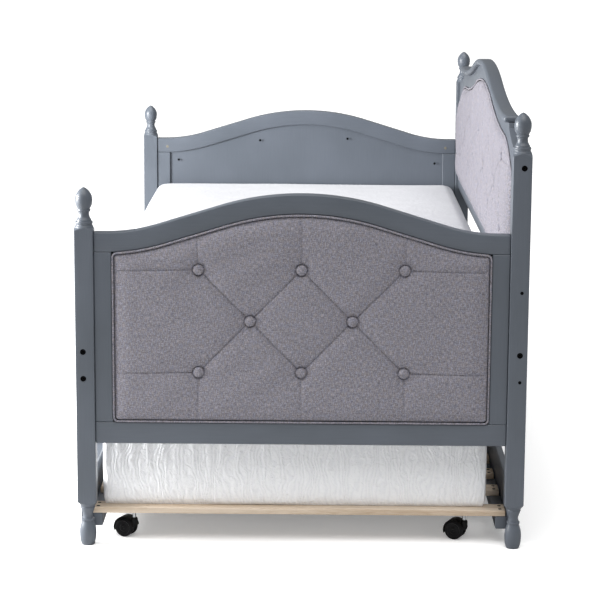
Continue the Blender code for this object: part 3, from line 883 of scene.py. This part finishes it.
# A pad's face, as (u, v, out), turned to stand in the right arm and in the back
FACE_TO_ARM = Matrix(((0, 0, 1, 0), (1, 0, 0, 0), (0, 1, 0, 0), (0, 0, 0, 1)))
FACE_TO_BACK = Matrix(((1, 0, 0, 0), (0, 0, -1, 0), (0, 1, 0, 0), (0, 0, 0, 1)))

# Where the buttons are: along the outer rows, along the middle row, and how high the three rows are
ARM_BUTTONS = ((-0.2432, 0.0, 0.2432), (-0.121, 0.121), (0.678, 0.555, 0.431))
BACK_BUTTONS = ((-0.72, -0.36, 0.0, 0.36, 0.72), (-0.54, -0.18, 0.18, 0.54), (0.912, 0.826, 0.740))
BUTTON_LIFT = 0.0016


def sunk_place(shape, u, v):
    """Where a button's rim sits, a little above the bottom of its dimple."""
    return Vector((u, v, float(shape.height(np.array([u]), np.array([v]))[0]) + BUTTON_LIFT))


def make_arm_pads(button):
    opening = (RAIL_END_Y - STILE, ARM_OPENING_BOTTOM, arm_opening_top)
    arm = Tufting(opening, *ARM_BUTTONS, crown=0.0092, edge=0.042)
    pad = tufted_pad(arm, 372, 192, 0.0165)
    bead = piping(arm)
    right = Matrix.Translation((ARM_FACE, 0, 0)) @ FACE_TO_ARM
    for side, place in (("right", right), ("left", MIRROR @ right)):
        cover, cord = (copy_of(piece, place) for piece in (pad, bead))
        face_outwards(cover)
        face_outwards(cord)
        show(cover, f"{side}_arm_tufted_pad", ARM_TWEED, "frame", "grey_tweed", f"{side}_arm_pad")
        show(cord, f"{side}_arm_piping", ARM_TWEED, "frame", "grey_tweed")
        for number, (u, v) in enumerate(arm.buttons, 1):
            made = copy_of(button, place @ Matrix.Translation(sunk_place(arm, u, v)))
            face_outwards(made)
            show(made, f"{side}_arm_button_{number}", ARM_TWEED, "frame", "grey_tweed")
    for used in (pad, bead):
        bpy.data.objects.remove(used)


def make_back_pad(button):
    opening = (RAIL_END_X - STILE, BACK_OPENING_BOTTOM, back_opening_top)
    outer, middle, _ = BACK_BUTTONS
    back = Tufting(opening, *BACK_BUTTONS, crown=0.0175, edge=0.055, pleats=outer + middle)
    place = Matrix.Translation((0, BACK_FACE, 0)) @ FACE_TO_BACK
    cover = tufted_pad(back, 600, 130, 0.0120)
    bead = piping(back)
    for piece in (cover, bead):
        piece.data.transform(place)
        face_outwards(piece)
    show(cover, "back_tufted_pad", BACK_TWEED, "frame", "grey_tweed", "back_pad")
    show(bead, "back_piping", BACK_TWEED, "frame", "grey_tweed")
    for number, (u, v) in enumerate(back.buttons, 1):
        made = copy_of(button, place @ Matrix.Translation(sunk_place(back, u, v)))
        face_outwards(made)
        show(made, f"back_button_{number}", BACK_TWEED, "frame", "grey_tweed")


def make_pads():
    button = covered_button()
    make_arm_pads(button)
    make_back_pad(button)
    bpy.data.objects.remove(button)


# ---------------------------------------------------------------- mattresses

FOAM_MATTRESS = {"corner": 0.045, "upper_edge": 0.022, "lower_edge": 0.018, "voxel": 0.009, "rounds": 2}
COVERLET_MATTRESS = {"corner": 0.002, "upper_edge": 0.022, "lower_edge": 0.003, "voxel": 0.0065, "rounds": 0}
RIB_PITCH = 0.021


def soft_block(low, high, corner, upper_edge, lower_edge, voxel, rounds):
    """A block of foam in its cover: a box with its corners and edges rounded, in one even skin."""
    block = box(low, high)
    corners = block.data.vertices
    pick(block, "EDGE", lambda e: abs(corners[e.vertices[0]].co.z - corners[e.vertices[1]].co.z) > 0.01)
    bpy.ops.mesh.bevel(offset=corner, segments=8)
    done()
    for way, edge in ((1, upper_edge), (-1, lower_edge)):
        pick(block, "FACE", lambda f: f.normal.z * way > 0.9)
        bpy.ops.mesh.region_to_loop()
        bpy.ops.mesh.bevel(offset=edge, segments=6)
        done()
    modify(block, "REMESH", mode="VOXEL", voxel_size=voxel)
    modify(block, "SMOOTH", factor=0.5, iterations=rounds)
    return block


def points_of(piece):
    """A piece's points and their normals."""
    spots = np.zeros(len(piece.data.vertices) * 3)
    piece.data.vertices.foreach_get("co", spots)
    normals = np.zeros(len(piece.data.vertices) * 3)
    piece.data.vertices.foreach_get("normal", normals)
    return spots.reshape(-1, 3), normals.reshape(-1, 3)


def make_main_mattress():
    """A foam block in its knitted cover: low waves on a faint crown, and sides that belly out a little."""
    low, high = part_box("main_mattress")
    inset = Vector((0.001, 0.001, 0))
    block = soft_block(low + inset, high - inset - Vector((0, 0, 0.002)), **FOAM_MATTRESS)
    spots, normals = points_of(block)
    x, y, z = spots.T
    flat = (1 - (x / high.x) ** 4) * (1 - (y / high.y) ** 4)
    soft = 0.0012 * np.sin(9 * x + 2 * np.sin(7 * y)) + 0.0010 * np.sin(13 * y + 1.5 * np.sin(5 * x))
    height = (z - low.z) / (high.z - low.z)
    spots[:, 2] += height * (0.006 * flat + soft)
    bulge = 0.004 * np.sin(np.clip(height, 0, 1) * math.pi)
    spots[:, :2] += normals[:, :2] * bulge[:, None]
    block.data.vertices.foreach_set("co", spots.ravel())
    only(block)
    bpy.ops.object.shade_smooth()
    show(block, "main_foam_mattress", KNIT, "frame", "mattress_cover", "main_mattress")


def make_coverlet_mattress():
    """A thin mattress in its coverlet: wandering ribs, gathers under the upper edge, and a wavy hem."""
    low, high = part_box("trundle_mattress")
    inset = Vector((0.004, 0.004, 0))
    block = soft_block(low + inset, high - inset - Vector((0, 0, 0.004)), **COVERLET_MATTRESS)
    spots, normals = points_of(block)
    x, y, z = spots.T
    height = np.clip((z - low.z) / (high.z - low.z), 0, 1)
    upright = 1 - np.abs(normals[:, 2])
    along = np.where(np.abs(normals[:, 0]) > np.abs(normals[:, 1]), y, x)
    wander = 0.9 * np.sin(31 * z + 2.2 * np.sin(9 * along)) + 0.7 * np.sin(17 * along)
    side_ribs = np.abs(np.sin(math.pi * along / RIB_PITCH + wander))
    wander = 1.1 * np.sin(24 * y + 2 * np.sin(7 * x)) + 0.8 * np.sin(15 * x)
    top_ribs = np.abs(np.sin(math.pi * x / RIB_PITCH + wander))
    ribs = side_ribs * upright + top_ribs * (1 - upright)
    swell = 0.0016 * np.sqrt(ribs)
    gathers = 0.0016 * np.sin(2 * math.pi * along / 0.034 + 1.5 * np.sin(11 * along)) * upright
    gathers *= np.exp(-((1 - height) / 0.35) ** 2)
    slump = 0.002 * np.sin(np.clip(height, 0, 1) * math.pi) * upright
    spots += normals * (swell + gathers + slump)[:, None]
    hem = 0.004 * np.sin(13 * along + 1.3 * np.sin(29 * along)) + 0.004
    spots[:, 2] += hem * upright * np.exp(-((height / 0.16) ** 2))
    spots[:, 2] = np.maximum(spots[:, 2], low.z)
    block.data.vertices.foreach_set("co", spots.ravel())
    smooth(block)
    show(block, "trundle_mattress_in_coverlet", COVERLET, "trundle", "coverlet", "trundle_mattress")


# ---------------------------------------------------------------- castors

def castor_wheels():
    """A pair of moulded wheels, each dished round its hub, on their axle along X."""
    inner, outer, edge = 0.0055, 0.0175, 0.0022
    r = WHEEL_RADIUS
    half = [
        (0.0, 0.003), (inner, 0.003), (inner, 0.0075), (inner + 0.0004, 0.0190), (inner + 0.0004, r - edge),
        (inner + 0.0012, r - 0.0006), (inner + 0.0028, r), (outer - 0.0028, r), (outer - 0.0010, r - 0.0008),
        (outer, r - edge - 0.0008), (outer, r - 0.0052), (outer - 0.0012, r - 0.0062),
        (outer - 0.0016, 0.0098), (outer - 0.0004, 0.0086), (outer, 0.0078), (outer, 0.0036),
        (outer - 0.0012, 0.0030), (outer - 0.0012, 0.0004),
    ]
    outline = [(-x, radius) for x, radius in reversed(half[1:])] + half[1:]
    wheels = turned(outline, 48)
    settle(wheels, ALONG_X)
    smooth(wheels)
    return wheels


def castor_hood():
    """The moulded hood over both wheels, with the web between them and the boss that holds the stem."""
    half, reach, web, room = 0.018, 0.0268, 0.005, WHEEL_RADIUS + 0.0013
    ends = [(half - 0.0022, reach), (half - 0.0007, reach - 0.0006), (half, reach - 0.0020)]
    hood = settle(turned([(-x, r) for x, r in reversed(ends)] + ends, 64), ALONG_X)
    open_side = box((-0.1, -0.1, -0.1), (0.1, 0.1, -0.002))
    combine(hood, settle(open_side, Matrix.Rotation(math.radians(14), 4, "X")), "DIFFERENCE")
    combine(hood, settle(turned([(-web, room - 0.004), (web, room - 0.004)], 48), ALONG_X), "UNION")
    boss = [(0.004, 0.0080), (0.006, 0.0088), (0.0215, 0.0088), (0.0245, 0.0080), (0.0260, 0.0062)]
    combine(hood, settle(turned(boss, 40), Matrix.Translation((0, CASTOR_TRAIL, 0))), "UNION")
    for way in (ALONG_X, AGAINST_X):
        combine(hood, settle(turned([(web, room), (2 * half, room)], 64), way), "DIFFERENCE")
    settle(hood, Matrix.Translation((0, -CASTOR_TRAIL, WHEEL_RADIUS)))
    smooth(hood)
    return hood


def castor_stem():
    """The grip-ring stem that turns in the slat."""
    groove = [(0.0560, 0.0046), (0.0564, 0.0038), (0.0600, 0.0038), (0.0604, 0.0046)]
    made = turned([(0.0480, 0.0046), *groove, (0.0696, 0.0046)], 32)
    smooth(made)
    return made


def castor_flange():
    """The pressed flange of the socket that the stem turns in."""
    made = turned([(0.0676, 0.0080), (0.0680, 0.0094), (0.0697, 0.0098)], 32)
    smooth(made)
    return made


def make_castors():
    wheels, hood, stem, flange = castor_wheels(), castor_hood(), castor_stem(), castor_flange()
    settle(wheels, Matrix.Translation((0, -CASTOR_TRAIL, WHEEL_RADIUS)))
    for side, x in (("right", CASTOR_X), ("left", -CASTOR_X)):
        for place, y in CASTOR_Y.items():
            name = f"{side}_{place}_castor"
            spot = Matrix.Translation((x, y, 0)) @ Matrix.Rotation(CASTOR_TURN, 4, "Z")
            swivel, pair, slot = f"{name}_swivel", f"{name}_wheel_pair", "castor_plastic"
            show(copy_of(hood, spot), f"{name}_hood", NYLON, swivel, slot, f"{name}_housing")
            show(copy_of(stem, spot), f"{name}_stem", ZINC_STEEL, swivel, "bolt_steel")
            show(copy_of(wheels, spot), f"{name}_twin_wheels", NYLON, pair, slot, f"{name}_wheels")
            show(copy_of(flange, spot), f"{name}_socket_flange", ZINC_STEEL, "trundle", "bolt_steel")
    for used in (wheels, hood, stem, flange):
        bpy.data.objects.remove(used)


# ---------------------------------------------------------------- fixings

POST_PLUGS = ((0.518, 0.628), (0.518, 0.4127))
PAD_SCREWS = ((-0.420, 0.694), (-0.152, 0.759), (0.135, 0.766), (0.422, 0.686))
DOWEL_PLUGS = ((-0.457, 0.737), (0.457, 0.737))
SLAT_SCREW_INSET = 0.012
SLAT_SCREWS = (-0.014, 0.014)
BOLT_SUNK = 0.0006
INWARD = {"right": AGAINST_X, "left": ALONG_X}
OUTWARD = {"right": ALONG_X, "left": AGAINST_X}


def socket_bolt():
    """A bolt's head seen from outside, with a hexagon socket, along +Z from its face downwards."""
    head = turned([(-0.009, 0.0062), (-0.009, 0.0068), (-0.0008, 0.0068), (0.0, 0.0060)], 32)
    combine(head, turned([(-0.0045, 0.0029), (0.001, 0.0029)], 6), "DIFFERENCE")
    smooth(head)
    return head


def crossed(head, long, narrow, floor):
    """Cuts a screw head's cross recess down to its floor, and smooths the head."""
    for x, y in ((long, narrow), (narrow, long)):
        combine(head, box((-x, -y, floor), (x, y, 0.004)), "DIFFERENCE")
    smooth(head)
    return head


def pan_screw():
    """A small black pan-head screw along +Z."""
    dome = ((-0.0002, 0.0036), (0.0003, 0.0038), (0.0006, 0.0034), (0.0009, 0.0022), (0.0010, 0.0004))
    return crossed(turned(rounded((dome,), 3), 24), 0.0019, 0.0004, 0.0004)


def countersunk_screw():
    """A countersunk screw's head, just proud of the slat, along +Z."""
    cone = [(-0.0030, 0.0018), (-0.0004, 0.0042), (0.0004, 0.0043), (0.0007, 0.0038)]
    return crossed(turned(cone, 24), 0.0022, 0.0005, -0.0008)


def dowel_plug(radius):
    """A dowel end, sanded almost flush."""
    return turned([(-0.001, radius), (0.0003, radius), (0.0006, radius * 0.9)], 24)


def make_fixings():
    bolt, screw, plug, cap = socket_bolt(), pan_screw(), dowel_plug(0.0045), dowel_plug(0.0040)
    for side, sign in (("right", 1), ("left", -1)):
        for place, heights in BOLT_HEIGHTS.items():
            for kind, height in heights.items():
                x, name = sign * (frame_high.x - BOLT_SUNK), f"{side}_{place}_{kind}"
                made = copy_of(bolt, Matrix.Translation((x, BOLT_Y[place], height)) @ OUTWARD[side])
                show(made, f"{name}_socket_bolt", BLACK_STEEL, "frame", "bolt_steel", f"{name}_bolt")
        for number, (y, z) in enumerate(POST_PLUGS, 1):
            spot = Matrix.Translation((sign * frame_high.x, y, z)) @ OUTWARD[side]
            show(copy_of(cap, spot), f"{side}_rear_post_plug_{number}", BLACK_STEEL, "frame", "bolt_steel")
        for number, (y, z) in enumerate(PAD_SCREWS, 1):
            spot = Matrix.Translation((sign * ARM_INNER, y, z)) @ INWARD[side]
            show(copy_of(screw, spot), f"{side}_arm_pad_screw_{number}", BLACK_STEEL, "frame", "bolt_steel")
        for number, (y, z) in enumerate(DOWEL_PLUGS, 1):
            spot = Matrix.Translation((sign * ARM_INNER, y, z)) @ INWARD[side]
            show(copy_of(plug, spot), f"{side}_arm_dowel_plug_{number}", BEECH, "frame", "pine")
    slat_screw = countersunk_screw()
    for side in ("right", "left"):
        for number in (1, 2, 3):
            slat = f"trundle_{side}_slat_{number}"
            low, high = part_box(slat)
            for place, y in (("front", low.y + SLAT_SCREW_INSET), ("rear", high.y - SLAT_SCREW_INSET)):
                for row, x in enumerate(SLAT_SCREWS, 1):
                    spot = Matrix.Translation(((low.x + high.x) / 2 + x, y, high.z))
                    name = f"{slat}_{place}_screw_{row}"
                    show(copy_of(slat_screw, spot), name, BLACK_STEEL, "trundle", "bolt_steel")
    for used in (bolt, screw, plug, cap, slat_screw):
        bpy.data.objects.remove(used)


# ---------------------------------------------------------------- stage, light and camera

FLOOR_SIZE = 30
FLOOR_GLOW = 0.24
WORLD_LIGHT, WORLD_SEEN = 0.32, 1.1


def hang(kind, name, spot, aim, **settings):
    """Hangs a light at one point and aims it at another."""
    light = bpy.data.lights.new(name, kind)
    for key, value in settings.items():
        setattr(light, key, value)
    lamp = bpy.data.objects.new(name, light)
    bpy.context.scene.collection.objects.link(lamp)
    lamp.location = spot
    lamp.rotation_euler = (Vector(aim) - Vector(spot)).to_track_quat("-Z", "Y").to_euler()


def make_stage():
    """A pale floor, a white surround, a softbox and a wide soft sky. The floor and the surround look brighter
    than the light they give."""
    bpy.ops.object.select_all(action="DESELECT")
    bpy.ops.mesh.primitive_plane_add(size=FLOOR_SIZE, location=(0, 0, 0))
    floor = bpy.context.active_object
    floor.name = "studio_floor"
    made, tree, shader = new_finish("white_studio_floor", roughness=0.9, emission_color=linear("#FFFFFF"))
    seen = add(tree, "LightPath")
    glow = add(tree, "MapRange", {"Value": seen, "To Min": 0.0, "To Max": FLOOR_GLOW})
    feed(tree, shader.inputs["Emission Strength"], glow)
    shade = add(tree, "ValToRGB", {"Fac": seen}, [(0.0, "#CECECE"), (1.0, "#FAFAFA")])
    feed(tree, shader.inputs["Base Color"], shade)
    floor.data.materials.append(made)

    world = bpy.data.worlds.new("studio")
    bpy.context.scene.world = world
    world.use_nodes = True
    tree = world.node_tree
    bright = {"Value": add(tree, "LightPath"), "To Min": WORLD_LIGHT, "To Max": WORLD_SEEN}
    feed(tree, tree.nodes["Background"].inputs["Strength"], add(tree, "MapRange", bright))
    feed(tree, tree.nodes["Background"].inputs["Color"], (1, 1, 1, 1))

    hang("AREA", "front_softbox", (0.8, -2.8, 1.15), (-0.4, 0.2, 0.75), shape="SQUARE", size=1.1, energy=265)
    hang("SUN", "overhead_sky", (1.1, 0.1, 3.2), (0, 0, 0), angle=math.radians(55), energy=2.6)


CAMERA_SPOT = (5.890, 0.0318, 1.5274)
CAMERA_PITCH, CAMERA_YAW, CAMERA_ROLL = 10.714, 0.846, 0.254
CAMERA_LENS = 126.04
CAMERA_SHIFT = 0.0259


def make_camera():
    """A long lens beyond the right arm, looking along the bed and a little down."""
    pitch, yaw, roll = (math.radians(angle) for angle in (CAMERA_PITCH, CAMERA_YAW, CAMERA_ROLL))
    level = Vector((-math.cos(yaw), -math.sin(yaw), 0))
    right = Vector((-math.sin(yaw), math.cos(yaw), 0))
    up = Vector((0, 0, 1))
    forward = math.cos(pitch) * level - math.sin(pitch) * up
    top = math.cos(pitch) * up + math.sin(pitch) * level
    right, top = math.cos(roll) * right + math.sin(roll) * top, math.cos(roll) * top - math.sin(roll) * right
    data = bpy.data.cameras.new("camera")
    data.lens = CAMERA_LENS
    data.sensor_width = 36
    data.shift_x = CAMERA_SHIFT
    data.clip_end = 100
    camera = bpy.data.objects.new("camera", data)
    bpy.context.scene.collection.objects.link(camera)
    turn = Matrix((right, top, -forward)).transposed().to_4x4()
    camera.matrix_world = Matrix.Translation(CAMERA_SPOT) @ turn
    bpy.context.scene.camera = camera
    bpy.context.scene.view_settings.view_transform = "Standard"


make_camera()
make_stage()
make_posts()
make_arm_rails()
make_crest()
make_pads()
make_main_mattress()
make_coverlet_mattress()
make_castors()
make_fixings()
finish_plain_timber()
